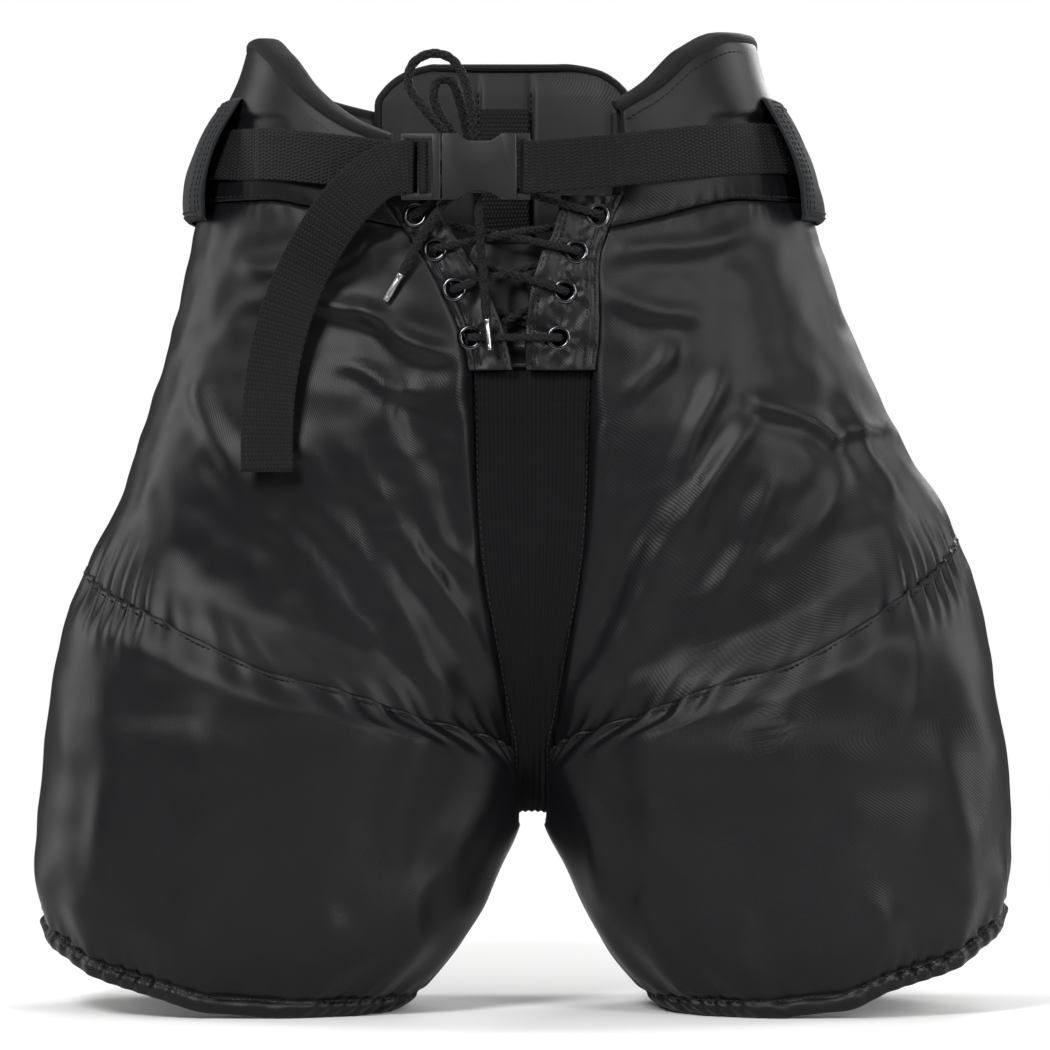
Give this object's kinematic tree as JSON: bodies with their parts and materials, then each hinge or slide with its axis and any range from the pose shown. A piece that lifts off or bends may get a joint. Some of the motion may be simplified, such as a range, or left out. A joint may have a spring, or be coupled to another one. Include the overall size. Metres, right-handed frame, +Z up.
{
  "type": "ice hockey pants",
  "caption": "Padded black nylon ice hockey pants with short wide legs, laced fly, buckled webbing belt in side tunnels and a raised back pad.",
  "frame": {"origin": "on the floor, in the middle of the pants' outline, between the two hems", "axes": "+X towards the wearer's left, -Y out of the front with the lacing, +Z up to the waist"},
  "size_m": [0.4789, 0.1976, 0.4799],
  "materials": {
    "nylon_twill": "black nylon twill with a soft satin shine",
    "lining_mesh": "dark lining cloth, matte",
    "stretch_knit": "matte ribbed stretch knit",
    "canvas": "charcoal matte woven cloth",
    "webbing": "ribbed polypropylene webbing",
    "elastic": "woven elastic tape",
    "lace": "braided waxed lace",
    "foam": "closed-cell foam padding",
    "guard_plastic": "moulded polyethylene guard",
    "buckle_plastic": "moulded acetal, satin",
    "eyelet_metal": "gunmetal plated eyelet",
    "aglet_metal": "bright crimped metal"
  },
  "bodies": {
    "waist": {"left_hip_panel": "nylon_twill", "left_seat_panel": "nylon_twill", "left_waistband": "nylon_twill", "left_placket": "nylon_twill", "left_hip_lining": "lining_mesh", "left_hip_foam": "foam", "left_kidney_foam": "foam", "left_belt_tunnel": "canvas", "left_eyelet_1": "eyelet_metal", "left_eyelet_2": "eyelet_metal", "left_eyelet_3": "eyelet_metal", "left_eyelet_4": "eyelet_metal", "right_hip_panel": "nylon_twill", "right_seat_panel": "nylon_twill", "right_waistband": "nylon_twill", "right_placket": "nylon_twill", "right_hip_lining": "lining_mesh", "right_hip_foam": "foam", "right_kidney_foam": "foam", "right_belt_tunnel": "canvas", "right_eyelet_1": "eyelet_metal", "right_eyelet_2": "eyelet_metal", "right_eyelet_3": "eyelet_metal", "right_eyelet_4": "eyelet_metal", "back_pad_cover": "nylon_twill", "back_pad_lining": "nylon_twill", "tailbone_foam": "foam", "tailbone_plate": "guard_plastic", "crotch_gusset": "stretch_knit", "fly_tongue": "stretch_knit", "hanger_tab": "webbing", "belt": "webbing", "buckle_socket": "buckle_plastic", "lacing": "lace", "lace_knot": "lace", "lace_loop_outer": "lace", "lace_loop_inner": "lace", "lace_end_short": "lace", "lace_end_long": "lace", "aglet_short": "aglet_metal", "aglet_long": "aglet_metal"},
    "left_leg": {"left_thigh_front_panel": "nylon_twill", "left_thigh_back_panel": "nylon_twill", "left_thigh_lining": "lining_mesh", "left_thigh_foam": "foam", "left_thigh_cap": "guard_plastic", "left_hem_elastic": "elastic"},
    "right_leg": {"right_thigh_front_panel": "nylon_twill", "right_thigh_back_panel": "nylon_twill", "right_thigh_lining": "lining_mesh", "right_thigh_foam": "foam", "right_thigh_cap": "guard_plastic", "right_hem_elastic": "elastic"},
    "buckle_plug": {"buckle_plug": "buckle_plastic", "belt_end": "webbing"},
    "prong_upper": {"buckle_prong_upper": "buckle_plastic"},
    "prong_lower": {"buckle_prong_lower": "buckle_plastic"},
    "belt_tail": {"belt_tail": "webbing"}
  },
  "joints": [
    {"name": "left_leg_swing", "type": "hinge", "parent": "waist", "child": "left_leg", "pos_m": [0.118, 0.00922, 0.205], "axis": [-1, 0, 0], "range_deg": [-8, 15]},
    {"name": "right_leg_swing", "type": "hinge", "parent": "waist", "child": "right_leg", "pos_m": [-0.118, 0.00922, 0.205], "axis": [-1, 0, 0], "range_deg": [-8, 15]},
    {"name": "buckle_release", "type": "slide", "parent": "waist", "child": "buckle_plug", "axis": [-1, 0, 0], "range_m": [0, 0.018]},
    {"name": "prong_upper_squeeze", "type": "hinge", "parent": "buckle_plug", "child": "prong_upper", "pos_m": [-0.0395, -0.09028, 0.4245], "axis": [0, 1, 0], "range_deg": [0, 6], "stiffness_Nm_per_rad": 0.05},
    {"name": "prong_lower_squeeze", "type": "hinge", "parent": "buckle_plug", "child": "prong_lower", "pos_m": [-0.0395, -0.09028, 0.4045], "axis": [0, -1, 0], "range_deg": [0, 6], "stiffness_Nm_per_rad": 0.05},
    {"name": "tail_swing", "type": "hinge", "parent": "buckle_plug", "child": "belt_tail", "pos_m": [-0.0536, -0.09218, 0.4145], "axis": [0, 0, 1], "range_deg": [0, 70]}
  ]
}
